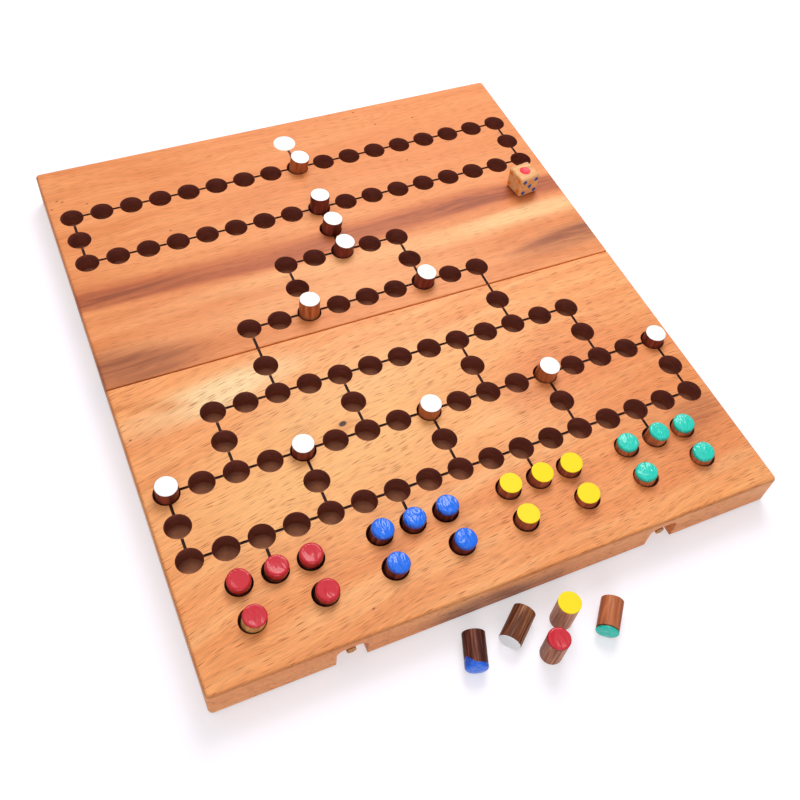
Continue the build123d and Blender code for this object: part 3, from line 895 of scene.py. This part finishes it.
def pip_tree() -> Tree:
    """Paint in dished pips: one shallow bowl on each point, turned to the point's out attribute.

    Returns:
        The geometry tree.
    """
    tree, start, end = new_geometry_tree(
        "painted_pips",
        {
            "Points": ("NodeSocketGeometry", None),
            "Pip Radius": ("NodeSocketFloat", 1.3 * MM),
            "Dish Radius": ("NodeSocketFloat", 2.6 * MM),
            "Dish Depth": ("NodeSocketFloat", 0.35 * MM),
            "Film": ("NodeSocketFloat", 0.03 * MM),
            "Finish": ("NodeSocketMaterial", None),
        },
    )
    disc = add(tree, CIRCLE, {"Resolution": 40, "Radius": start.outputs["Pip Radius"]})
    spoke = add(tree, LINE, {"Start": (0, 0, 0), "End": (1, 0, 0)})
    spoke = add(tree, RESAMPLE, {"Curve": spoke, "Count": 8})
    share = add(tree, "GeometryNodeSplineParameter", out="Factor")
    share = add(tree, MATH, {0: share, 1: 0.01}, operation="MAXIMUM")
    bowl = add(tree, SWEEP, {"Curve": spoke, "Profile Curve": disc, "Scale": share, "Fill Caps": False})
    where = add(tree, POSITION)
    parts = add(tree, SPLIT, {0: where}, out=None)
    flat = add(tree, JOIN, {0: parts.outputs[1], 1: parts.outputs[2], 2: 0.0})
    reach = add(tree, VECTOR, {0: flat}, out="Value", operation="LENGTH")
    reach = add(tree, MATH, {0: reach, 1: reach}, operation="MULTIPLY")
    dish = start.outputs["Dish Radius"]
    square = add(tree, MATH, {0: dish, 1: dish}, operation="MULTIPLY")
    drop = add(tree, MATH, {0: square, 1: reach}, operation="SUBTRACT")
    drop = add(tree, MATH, {0: drop, 1: 0.5}, operation="POWER")
    level = add(tree, MATH, {0: dish, 1: drop}, operation="SUBTRACT")
    level = add(tree, MATH, {0: level, 1: start.outputs["Dish Depth"]}, operation="SUBTRACT")
    level = add(tree, MATH, {0: level, 1: start.outputs["Film"]}, operation="ADD")
    shaped = add(tree, JOIN, {0: parts.outputs[1], 1: parts.outputs[2], 2: level})
    bowl = add(tree, MOVE, {"Geometry": bowl, "Position": shaped})
    bowl = add(tree, "GeometryNodeMergeByDistance", {"Geometry": bowl, "Distance": 0.02 * MM})
    bowl = add(tree, SMOOTH, {"Geometry": bowl})
    out = add(tree, "GeometryNodeInputNamedAttribute", {"Name": "out"}, data_type="FLOAT_VECTOR")
    turn = add(tree, "FunctionNodeAlignRotationToVector", {"Vector": out}, axis="Z")
    copies = {"Points": start.outputs["Points"], "Instance": bowl, "Rotation": turn}
    placed = add(tree, "GeometryNodeInstanceOnPoints", copies)
    placed = add(tree, REALIZE, {"Geometry": placed})
    placed = add(tree, FINISH, {"Geometry": placed, "Material": start.outputs["Finish"]})
    tree.links.new(placed, end.inputs[0])
    return tree


class Top(Enum):
    """How the paint lies on a peg's end."""

    POOLED = "thick, sunk in the middle behind a round rim, and run down the side"
    DOMED = "thick and crowned, with a short run down the side"
    FLAT = "thin and level, with a crisp edge"


@dataclass(frozen=True)
class Drip:
    """One run of paint down the side: the direction it faces, how far it goes, and how wide it is."""

    towards: tuple[float, float, float]
    length: float
    width: float


@dataclass(frozen=True)
class PaintCoat:
    """The coat on one colour of peg. skirt is how far it comes down, and waver how uneven it is."""

    top: Top
    finish: DippedEnamel
    slot: str
    skirt: float
    waver: float
    thickness: float = 0.09
    rim_round: float = 0.35
    crown: float = 0.0
    inset: float = 0.0
    rim_run: float = 0.25
    arc_steps: int = 6
    fit_gap: float = 0.02

    def profile(self, peg_radius: float, length: float, skirt: float) -> list[tuple[float, float, float]]:
        """The coat's outline at one angle, from the middle of its top, down the side and back inside.

        Args:
            peg_radius: The outer radius of the peg.
            length: The height of the peg's top.
            skirt: How far the coat comes down here.

        Returns:
            Radius, height and share of the way down the skirt for each point.
        """
        outer = peg_radius - self.inset
        rim = min(self.rim_round, skirt * 0.8)
        flat = outer - rim
        points = []
        for share in (0.2, 0.4, 0.6, 0.75, 0.88, 1.0):
            sink = self.crown * (share**2 - 1) if self.top is Top.POOLED else -self.crown * share**2
            points.append((flat * share, length + sink, 0.0))
        edge_z = points[-1][1] - rim
        for step in range(1, self.arc_steps + 1):
            share = step / self.arc_steps
            turn = share * math.pi / 2
            radius, height = flat + rim * math.sin(turn), edge_z + rim * math.cos(turn)
            points.append((radius, height, share * self.rim_run))
        low_z = min(length - skirt, edge_z - self.fit_gap)
        for share in (0.25, 0.5, 0.75, 0.92):
            run = self.rim_run + share * (1 - self.rim_run)
            points.append((outer, edge_z + (low_z - edge_z) * share, run))
        inner = outer - self.thickness
        points.append((outer - 0.3 * self.thickness, low_z, 1.0))
        points.append((inner - self.fit_gap, low_z, 1.0))
        ceiling = max(length - self.crown - rim - 0.05, low_z + 0.01)
        points.append((inner - self.fit_gap, ceiling, 1.0))
        points.append((inner * 0.5, ceiling, 1.0))
        return points


@dataclass(frozen=True)
class PegPlace:
    """A peg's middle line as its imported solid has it: foot, direction to the painted end, length."""

    foot: Vector
    axis: Vector
    length: float
    radius: float

    @staticmethod
    def read(node: bpy.types.Object) -> PegPlace:
        """Finds the middle line of a packed peg from its vertices.

        Args:
            node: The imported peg.

        Returns:
            The peg's place.
        """
        points = np.array([v.co for v in node.data.vertices], float)
        middle = (points.min(0) + points.max(0)) / 2
        values, vectors = np.linalg.eigh(np.cov((points - middle).T))
        axis = vectors[:, int(np.argmax(values))]
        towards_painted_end = np.array((0.0, -0.2, 1.0))
        if axis @ towards_painted_end < 0:
            axis = -axis
        height = (points - middle) @ axis
        across = (points - middle) - np.outer(height, axis)
        side = np.linalg.svd(across, full_matrices=False)[2][:2]
        spans = across @ side.T
        offset = (spans.min(0) + spans.max(0)) / 2
        centre = middle + offset @ side
        radius = float((spans.max(0) - spans.min(0)).mean() / 2)
        foot = centre + axis * height.min()
        return PegPlace(Vector(foot), Vector(axis), float(np.ptp(height)), radius)

    def matrix(self) -> Matrix:
        """The move from a peg standing on the origin to this place."""
        turn = Vector((0, 0, 1)).rotation_difference(self.axis).to_matrix().to_4x4()
        return Matrix.Translation(self.foot) @ turn


@dataclass
class Pegs:
    """All the pegs: a dowel and a coat of paint for each packed peg."""

    nodes: dict[str, bpy.types.Object]
    sides: int = 72
    edge_round: float = 0.3
    least_skirt: float = 0.12
    sharp_angle: float = 50.0
    # Waves round a coat's lower edge, and how strong each is
    swells: tuple[tuple[int, float], ...] = ((1, 1.0), (2, 0.5), (5, 0.3), (11, 0.15))
    woods: dict[str, DowelWood] = field(default_factory=dict)
    coats: dict[str, PaintCoat] = field(default_factory=dict)
    drips: dict[str, tuple[Drip, ...]] = field(default_factory=dict)
    odd_woods: dict[str, str] = field(default_factory=dict)
    odd_skirts: dict[str, float] = field(default_factory=dict)

    def build(self) -> None:
        """Makes every peg."""
        tree = dowel_tree()
        woods = {name: wood.build() for name, wood in self.woods.items()}
        enamels = {name: coat.finish.build() for name, coat in self.coats.items()}
        draws = random.Random(17)
        names = sorted(name for name in self.nodes if "_peg_" in name or name.startswith("barricade_"))
        for name in names:
            kind = name.split("_")[0]
            coat = self.coats[kind]
            place = PegPlace.read(self.nodes[name])
            shift = tuple(draws.uniform(0, 90) for _ in range(3))
            wood_top = coat.thickness if coat.top is Top.FLAT else coat.crown + coat.rim_round
            bare = coat.top is Top.FLAT and coat.inset > 0
            radius = place.radius - (0.0 if bare else coat.thickness * MM)
            wood = grow(
                tree,
                f"{name}_dowel",
                {
                    "Radius": radius,
                    "Length": place.length - wood_top * MM,
                    "Edge Round": self.edge_round * MM,
                    "Grain Shift": shift,
                    "Finish": woods[self.odd_woods.get(name, kind)],
                },
            )
            wood.data.transform(place.matrix())
            film = self._film(name, coat, place, shift, draws, enamels[kind])
            body = self.nodes[name]["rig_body"]
            for piece in (wood, film):
                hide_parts(name)
                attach(piece, body)
            LOG.info("peg %s: %.1f mm long on body %s", name, place.length / MM, body)

    def _film(
        self,
        name: str,
        coat: PaintCoat,
        place: PegPlace,
        shift: tuple[float, ...],
        draws: random.Random,
        finish: bpy.types.Material,
    ) -> bpy.types.Object:
        """Makes the coat of one peg as a closed shell.

        Args:
            name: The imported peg's name.
            coat: The coat of this colour.
            place: Where the peg is.
            shift: What moves this peg's grain away from its neighbours'.
            draws: The source of the unevenness.
            finish: The enamel.

        Returns:
            The finished piece.
        """
        phases = [draws.uniform(0, 2 * math.pi) for _ in self.swells]
        skirt_base = self.odd_skirts.get(name, coat.skirt)
        radius, length = place.radius / MM, place.length / MM
        into_peg = place.matrix().to_3x3().inverted()
        runs_down = [(into_peg @ Vector(drip.towards), drip) for drip in self.drips.get(name, ())]
        rings: list[list[tuple[float, float, float]]] = []
        for i in range(self.sides):
            angle = 2 * math.pi * i / self.sides
            pairs = zip(self.swells, phases)
            swell = sum(share * math.sin(waves * angle + phase) for (waves, share), phase in pairs)
            skirt = max(skirt_base + coat.waver * swell, self.least_skirt)
            for side, drip in runs_down:
                away = (angle - math.atan2(side.y, side.x) + math.pi) % (2 * math.pi) - math.pi
                skirt += drip.length * math.exp(-((away * radius / (drip.width / 2)) ** 2))
            rings.append(coat.profile(radius, length, skirt))
        count = len(rings[0])
        vertices = [(0.0, 0.0, length - (coat.crown if coat.top is Top.POOLED else 0.0))]
        runs = [0.0]
        for i, ring in enumerate(rings):
            angle = 2 * math.pi * i / self.sides
            for r, z, run in ring:
                vertices.append((r * math.cos(angle), r * math.sin(angle), z))
                runs.append(run)
        vertices.append((0.0, 0.0, rings[0][-1][1]))
        runs.append(1.0)
        last = len(vertices) - 1
        faces: list[tuple[int, ...]] = []
        for i in range(self.sides):
            here = 1 + i * count
            beside = 1 + (i + 1) % self.sides * count
            faces.append((0, here, beside))
            faces.extend((here + j, here + j + 1, beside + j + 1, beside + j) for j in range(count - 1))
            faces.append((here + count - 1, last, beside + count - 1))
        mesh = bpy.data.meshes.new(f"{name}_paint")
        mesh.from_pydata([tuple(c * MM for c in v) for v in vertices], [], faces)
        grain = mesh.attributes.new("grain", "FLOAT_VECTOR", "POINT")
        grain.data.foreach_set("vector", [c + s for v in vertices for c, s in zip(v, shift)])
        run_attribute = mesh.attributes.new("run", "FLOAT", "POINT")
        run_attribute.data.foreach_set("value", runs)
        mesh.polygons.foreach_set("use_smooth", [True] * len(mesh.polygons))
        mesh.set_sharp_from_angle(angle=math.radians(self.sharp_angle))
        mesh.materials.append(finish)
        mesh.transform(place.matrix())
        obj = bpy.data.objects.new(f"{name}_paint", mesh)
        bpy.context.scene.collection.objects.link(obj)
        return obj


@dataclass
class Die:
    """The die: its packed cube in pale wood, and paint in its pips."""

    node: bpy.types.Object
    edge: float = 12.0
    turn: float = 7.3
    pip_diameter: float = 2.6
    ace_diameter: float = 6.0
    pip_depth: float = 0.35
    pip_offset: float = 3.6
    pip_gap: float = 0.06
    film: float = 0.012

    def build(self) -> None:
        """Dresses the cube and fills its pips."""
        tones = ("#D8985E", "#EDB27A", "#F6C890")
        wood = DowelWood("oiled_rubberwood", tones, 2.2, Grain.OBJECT_X, 0.45, (0.25, 0.75))
        dress(self.node, wood.build())
        # Opposite faces share a colour: label, enamel, and the count and direction of each face
        faces = (
            ("ace", "red", "#E81E38", ((1, (0, 0, 1)), (6, (0, 0, -1)))),
            ("navy", "navy", "#2252A4", ((5, (0, -1, 0)), (2, (0, 1, 0)))),
            ("orange", "orange", "#EE801E", ((4, (-1, 0, 0)), (3, (1, 0, 0)))),
        )
        enamels = [
            DippedEnamel(f"{paint}_pip_enamel", colour, colour, colour, roughness=0.35).build()
            for _, paint, colour, _ in faces
        ]
        low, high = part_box("die")
        centre = (low + high) / 2
        turned = Matrix.Translation(centre) @ Matrix.Rotation(math.radians(self.turn), 4, "Z")
        tree = pip_tree()
        for (label, _, _, sides), finish in zip(faces, enamels):
            for pips, side in sides:
                self._fill(tree, f"die_{label}_pips_{pips}", pips, side, finish, turned)

    def _fill(
        self,
        tree: Tree,
        name: str,
        count: int,
        out: tuple[int, int, int],
        finish: bpy.types.Material,
        turned: Matrix,
    ) -> None:
        """Paints the pips of one face.

        Args:
            tree: The geometry tree that makes the painted bowls.
            name: The name of the piece.
            count: How many pips the face has.
            out: The way the face looks while the die stands square on the origin.
            finish: The enamel.
            turned: The move from there to the die's place.
        """
        corners = [(-1, -1), (1, 1), (-1, 1), (1, -1)]
        layouts = {
            1: [(0, 0)],
            2: corners[:2],
            3: corners[:2] + [(0, 0)],
            4: corners,
            5: corners + [(0, 0)],
            6: corners + [(-1, 0), (1, 0)],
        }
        face = Vector(out)
        along, up = self._face_axes(face)
        half = self.edge / 2
        spots = [(face * half + (along * u + up * v) * self.pip_offset) * MM for u, v in layouts[count]]
        base = bpy.data.meshes.new(name)
        base.from_pydata(spots, [], [])
        outs = base.attributes.new("out", "FLOAT_VECTOR", "POINT")
        outs.data.foreach_set("vector", [c for _ in spots for c in face])
        diameter = self.ace_diameter if count == 1 else self.pip_diameter
        dish = (diameter**2 / 4 + self.pip_depth**2) / (2 * self.pip_depth)
        piece = grow(
            tree,
            name,
            {
                "Pip Radius": (diameter / 2 - self.pip_gap) * MM,
                "Dish Radius": dish * MM,
                "Dish Depth": self.pip_depth * MM,
                "Film": self.film * MM,
                "Finish": finish,
            },
            base,
        )
        piece.data.transform(turned)
        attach(piece, "die")
        LOG.info("die: %d pips painted on the %s face", count, name)

    @staticmethod
    def _face_axes(out: Vector) -> tuple[Vector, Vector]:
        """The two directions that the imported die's pips are laid along on a face.

        Args:
            out: The way the face looks.

        Returns:
            The direction along the face and the one up it.
        """
        if abs(out.z) > 0.5:
            along = Vector((1, 0, 0))
        else:
            along = Vector((0, 0, 1)).cross(out) if abs(out.y) > 0.5 else Vector((0, 1, 0))
        return along, out.cross(along)


@dataclass
class Board:
    """The two halves of the board with their goal disc, pins, hinges and screws."""

    nodes: dict[str, bpy.types.Object]
    layout: Layout

    def build(self) -> None:
        """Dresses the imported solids."""
        dress(self.nodes["far_board"], self._far_wood().build())
        dress(self.nodes["near_board"], self._near_wood().build())
        dress(self.nodes["goal_disc"], ChalkWhite("sanded_white_paint").build())
        birch = ("#A8703C", "#C99254", "#E0B078")
        pin_wood = DowelWood("pale_birch_dowel", birch, 1.1, Grain.OBJECT_Y).build()
        brass = Brass("drawn_brass_leaf").build()
        screws = Brass("turned_brass_screw", "#D2AC5C", "#9A7636").build()
        for name, node in self.nodes.items():
            if name.endswith("band_pin"):
                dress(node, pin_wood)
            elif name.endswith("hinge_screws"):
                dress(node, screws)
            elif "_hinge_" in name:
                dress(node, brass)
        LOG.info("board: two halves, goal disc, four band pins, two hinges")

    def _far_wood(self) -> BoardWood:
        """The far plank: tan, with a ribbon of brown heartwood and darker wood at the seam's ends.

        Returns:
            The finish.
        """
        brown, deep, rose = "#B45C34", "#864024", "#AC643C"
        return BoardWood(
            "satin_rain_tree_heartwood_far",
            self.layout,
            ("#F29E64", "#EB945A", "#E0864C"),
            "#D2743C",
            "#924820",
            slope=0.02,
            bow=0.0,
            pore_share=0.6,
            figures=(
                Figure(30, 36, 300, 20, -1, "#FDBB7E", 0.7, 0.25),
                Figure(105, 38, 120, 15, 1, "#FFCC90", 0.8, 0.2),
                Figure(-20, 20, 170, 30, 0, "#FBB478", 0.6, 0.3),
                Figure(75, 108, 230, 120, 0, "#E48A50", 0.6, 0.15),
                Ribbon(53.5, 2.0, 220, 80, 21, "#CA6E3E", 0.9, 0.15),
                Ribbon(52.5, 2.0, 220, 80, 13, brown, 0.9, 0.45),
                Figure(-112, 52.5, 130, 12, 0, deep, 0.75, 0.7),
                Figure(20, 53, 150, 9, 0, "#A85C34", 0.6, 0.6),
                Figure(78, 55, 140, 13, 0, deep, 0.6, 0.7),
                Figure(118, 58, 60, 10, -4, deep, 0.6, 0.7),
                Figure(-122, 10, 110, 34, -4, rose, 0.95, 0.25),
                Figure(-122, 13, 90, 11, -5, deep, 0.7, 0.6),
                Figure(-112, 4, 70, 7, -3, deep, 0.4, 0.6),
                Figure(122, 15, 110, 22, 5, rose, 0.95, 0.3),
                Figure(118, 17, 100, 9, 6, deep, 0.85, 0.65),
            ),
            knots=self._specks(
                (-124.5, 123.8),
                (-122, 122.5),
                (-128, 118.7),
                (-110.7, 117.5),
                (-76.5, 85.5),
                (46, 143.5),
                (54, 130),
                (76.7, 129),
                (59, 96.7),
            ),
            seed=31.0,
        )

    def _near_wood(self) -> BoardWood:
        """The near plank: honey-coloured on the left, redder to the right and along the front.

        Returns:
            The finish.
        """
        return BoardWood(
            "satin_rain_tree_heartwood_near",
            self.layout,
            ("#FFB474", "#F9A463", "#EA8E50"),
            "#D87838",
            "#944A22",
            slope=0.16,
            bow=0.00035,
            pore_share=0.85,
            figures=(
                Figure(-45, -62, 230, 96, 8, "#FDBA74", 0.85, 0.2),
                Figure(-88, -14, 120, 26, 4, "#FFDCA6", 0.9, 0.15),
                Figure(-20, -30, 150, 40, 6, "#FFC484", 0.5, 0.3),
                Figure(-118, -20, 60, 60, 0, "#F39C5E", 0.6, 0.3),
                Figure(95, -74, 140, 110, 0, "#E88A50", 0.85, 0.25),
                Figure(112, -122, 100, 60, 0, "#DC7E4C", 0.7, 0.35),
                Figure(50, -70, 50, 40, 20, "#DE8650", 0.6, 0.3),
                Figure(70, -130, 210, 50, 3, "#EE9258", 0.7, 0.4),
                Figure(-60, -140, 240, 24, 6, "#F09A5C", 0.7, 0.4),
                Figure(115, -138, 50, 14, 4, "#F6AE74", 0.7, 0.2),
                Figure(100, -120, 70, 22, 0, "#CF7A48", 0.5, 0.5),
                Figure(118, -108, 40, 26, 10, "#B0643C", 0.75, 0.5),
                Figure(-118, -7, 60, 10, -20, "#D5803F", 0.7, 0.7),
                Figure(-39, -53.8, 16, 9, 10, "#D98A48", 0.7),
                # On the front face: a darker patch in the middle, and lighter ones at both ends
                Figure(-35, -149, 130, 8, 0, "#924A28", 0.85, 0.3, 0.5, 12.0, -12.0),
                Figure(-122, -149, 60, 8, 0, "#FFC8A0", 0.8, 0.2, 0.3, 12.0, -12.0),
                Figure(122, -149, 60, 8, 0, "#FFD0AC", 0.8, 0.2, 0.3, 12.0, -12.0),
            ),
            knots=(
                Figure(-39, -53.8, 4.6, 3.2, 15, "#3A150A", 1.0, 0.0, 0.6, 30.0),
                *self._specks((-127, -30), (88, -62), (20, -96), (-60, -139)),
            ),
            seed=57.0,
            band_strength=0.24,
            pore_strength=0.9,
            fibre_depth=0.22,
        )

    @staticmethod
    def _specks(*places: tuple[float, float]) -> tuple[Figure, ...]:
        """Pin knots about a millimetre long."""
        return tuple(Figure(x, y, 2.0, 1.1, 12, "#6A3A20", 0.8, 0.0, 0.4, 30.0) for x, y in places)


@dataclass(frozen=True)
class Studio:
    """A white floor, soft lights and the camera, in metres.

    The camera's place is measured from the middle of the pattern on the playing face.
    """

    layout: Layout
    camera_place: tuple[float, float, float] = (-0.13919, -0.27253, 0.35364)
    camera_right: tuple[float, float, float] = (0.9123, -0.4011, 0.0819)
    camera_forward: tuple[float, float, float] = (0.2957, 0.5074, -0.8094)
    lens: float = 43.54
    sensor_width: float = 36.0
    key_towards: tuple[float, float, float] = (0.30, 0.50, 0.81)
    key_distance: float = 0.95
    key_size: float = 0.5
    key_power: float = 5.8
    top_place: tuple[float, float, float] = (-0.15, 0.1, 1.1)
    top_power: float = 3.9
    top_size: float = 1.2
    front_place: tuple[float, float, float] = (-0.3, -1.0, 0.36)
    front_power: float = 3.2
    front_size: float = 0.6
    fill: float = 0.25
    floor_glow: float = 0.5
    floor_half: float = 2.5

    def build(self) -> None:
        """Makes the floor, the lights, the world and the camera."""
        self._floor()
        self._world()
        key_place = Vector(self.key_towards).normalized() * self.key_distance
        self._lamp("key_softbox", key_place, self.key_size, self.key_power)
        self._lamp("top_softbox", Vector(self.top_place), self.top_size, self.top_power)
        self._lamp("front_softbox", Vector(self.front_place), self.front_size, self.front_power)
        forward = Vector(self.camera_forward).normalized()
        right = Vector(self.camera_right)
        right = (right - forward * right.dot(forward)).normalized()
        up = right.cross(forward)
        turn = Matrix((right, up, -forward)).transposed().to_4x4()
        data = bpy.data.cameras.new("photo_camera")
        data.lens = self.lens
        data.sensor_width = self.sensor_width
        camera = bpy.data.objects.new("photo_camera", data)
        middle = Vector((0, self.layout.middle_y * MM, self.layout.top_z * MM))
        place = middle + Vector(self.camera_place)
        camera.matrix_world = Matrix.Translation(place) @ turn
        bpy.context.scene.collection.objects.link(camera)
        bpy.context.scene.camera = camera
        bpy.context.scene.view_settings.view_transform = "Standard"

    def _lamp(self, name: str, place: Vector, size: float, power: float) -> None:
        """Hangs one square softbox that faces the origin.

        Args:
            name: The name of the lamp.
            place: Where it hangs.
            size: The length of its side.
            power: Its watts.
        """
        data = bpy.data.lights.new(name, "AREA")
        data.shape = "SQUARE"
        data.size = size
        data.energy = power
        lamp = bpy.data.objects.new(name, data)
        lamp.location = place
        lamp.rotation_euler = (-place).to_track_quat("-Z", "Y").to_euler()
        bpy.context.scene.collection.objects.link(lamp)

    @staticmethod
    def _seen(tree: Tree) -> Socket:
        """One for what is seen by the camera or in a reflection, none for what only gives light.

        Args:
            tree: The tree of a material or of the world.

        Returns:
            The mask.
        """
        path = add(tree, RAYS, out=None)
        seen = path.outputs["Is Camera Ray"]
        for ray in ("Is Glossy Ray", "Is Transmission Ray"):
            seen = add(tree, MATH, {0: seen, 1: path.outputs[ray]}, operation="MAXIMUM")
        return seen

    def _world(self) -> None:
        """White to the eye and in reflections, dimmer as a light."""
        world = bpy.data.worlds.new("white_studio")
        bpy.context.scene.world = world
        world.use_nodes = True
        tree = world.node_tree
        tree.nodes.clear()
        power = add(tree, RANGE, {0: self._seen(tree), 1: 0.0, 2: 1.0, 3: self.fill, 4: 1.0})
        sky = add(tree, "ShaderNodeBackground", {"Color": linear("#FFFFFF"), "Strength": power})
        add(tree, "ShaderNodeOutputWorld", {"Surface": sky}, out=None)

    def _floor(self) -> None:
        """A plain pale sheet that takes the shadows and glows a little, so that it looks white."""
        half = self.floor_half
        mesh = bpy.data.meshes.new("floor")
        corners = [(-half, -half, 0), (half, -half, 0), (half, half, 0), (-half, half, 0)]
        mesh.from_pydata(corners, [], [(0, 1, 2, 3)])
        floor = bpy.data.objects.new("floor", mesh)
        bpy.context.scene.collection.objects.link(floor)
        material, tree, shader = new_finish("matt_white_paper")
        shader.inputs["Base Color"].default_value = linear("#C8C2CC")
        shader.inputs["Roughness"].default_value = 0.6
        lift = add(tree, MATH, {0: self._seen(tree), 1: self.floor_glow}, operation="MULTIPLY")
        shader.inputs["Emission Color"].default_value = linear("#FFFFFF")
        tree.links.new(lift, shader.inputs["Emission Strength"])
        mesh.materials.append(material)


def peg_woods() -> dict[str, DowelWood]:
    """The dowel woods by the colour of their pegs.

    Returns:
        Name to wood. The names after barricade are for odd pegs.
    """
    return {
        "red": DowelWood("oiled_rosewood_red", ("#2E1410", "#4E241A", "#723A28"), 1.6),
        "blue": DowelWood("oiled_rosewood_blue", ("#3E1814", "#64291E", "#8A402C"), 2.2),
        "yellow": DowelWood("oiled_rosewood_yellow", ("#7A3A2A", "#9A5038", "#B86A4A"), 2.4),
        "teal": DowelWood("oiled_padauk", ("#96502F", "#BA6A44", "#D48658"), 2.0),
        "barricade": DowelWood("oiled_rosewood_white", ("#501C14", "#743023", "#964836"), 2.6),
        "tan": DowelWood("oiled_beech", ("#B07C44", "#D09E62", "#E4B884"), 1.8),
        "amber": DowelWood("oiled_cherry", ("#984E2C", "#B8683E", "#D08450"), 2.4),
        "streaked": DowelWood("oiled_streaked_rosewood", ("#2E140E", "#7C4830", "#B8845C"), 1.2),
        "night": DowelWood("oiled_dark_rosewood", ("#241010", "#54281F", "#8A5440"), 1.5),
        "grey": DowelWood("oiled_walnut", ("#6E3C28", "#A8664A", "#CE9270"), 0.9),
        "rosy": DowelWood("oiled_pear", ("#A66248", "#CA8A6A", "#E6B092"), 1.3),
    }


def peg_coats() -> dict[str, PaintCoat]:
    """The coats of paint by colour.

    Returns:
        The first word of a peg's name to its coat.
    """
    red = DippedEnamel("red_gloss_enamel", "#D21E30", "#A01424", "#34100E", 0.5, 3.0, 0.16, 0.3)
    blue = DippedEnamel("blue_gloss_enamel", "#0070F4", "#0A58D0", "#0E48BC", 1.0, 2.2, 0.14, 0.4)
    yellow = DippedEnamel("yellow_satin_enamel", "#FFE414", "#F2CC10", "#E0B010", 0.0, 1.0, 0.45, 0.2)
    teal = DippedEnamel("teal_gloss_enamel", "#00D4BE", "#00A894", "#0A8A7A", 1.0, 2.2, 0.12, 0.4)
    white = DippedEnamel("white_satin_enamel", "#FFFFFF", "#F8F6F2", "#F0EEEA", 0.0, 1.0, 0.5)
    return {
        "red": PaintCoat(Top.POOLED, red, "red_peg_wood", 4.0, 0.3, rim_round=1.15, crown=0.22),
        "blue": PaintCoat(Top.DOMED, blue, "blue_peg_wood", 2.4, 0.15, rim_round=1.2, crown=0.3),
        "yellow": PaintCoat(Top.FLAT, yellow, "yellow_peg_wood", 0.3, 0.03, rim_round=0.2),
        "teal": PaintCoat(Top.DOMED, teal, "teal_peg_wood", 2.0, 0.12, rim_round=1.2, crown=0.4),
        "barricade": PaintCoat(Top.FLAT, white, "barricade_peg_wood", 0.2, 0.02, rim_round=0.12, inset=0.12),
    }


def main() -> None:
    """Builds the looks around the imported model."""
    logging.basicConfig(level=logging.INFO, format="%(name)s %(message)s")
    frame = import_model()
    nodes = frame["nodes"]
    fold = next(joint for joint in frame["joints"] if joint["name"] == "fold")
    low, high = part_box("near_board")[0] / MM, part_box("far_board")[1] / MM
    middle_y = fold["pos_m"][1] / MM + Layout.beyond_seam
    layout = Layout(
        edge_x=high.x,
        edge_far=high.y - middle_y,
        edge_near=middle_y - low.y,
        middle_y=middle_y,
        top_z=high.z,
    )
    Studio(layout).build()
    Board(nodes, layout).build()
    pegs = Pegs(
        nodes,
        woods=peg_woods(),
        coats=peg_coats(),
        drips={"blue_peg_spare": (Drip((-0.8, 0.1, 0.4), 3.4, 6.0),)},
        odd_woods={
            "red_peg_4": "tan",
            "barricade_1": "amber",
            "barricade_5": "amber",
            "barricade_9": "amber",
            "barricade_10": "amber",
            "barricade_spare": "streaked",
            "blue_peg_spare": "night",
            "red_peg_spare": "grey",
            "yellow_peg_spare": "rosy",
        },
        odd_skirts={"red_peg_4": 1.0, "red_peg_spare": 1.1, "teal_peg_spare": 0.7, "blue_peg_spare": 2.0},
    )
    pegs.build()
    Die(nodes["die"]).build()


if __name__ == "__main__":
    main()
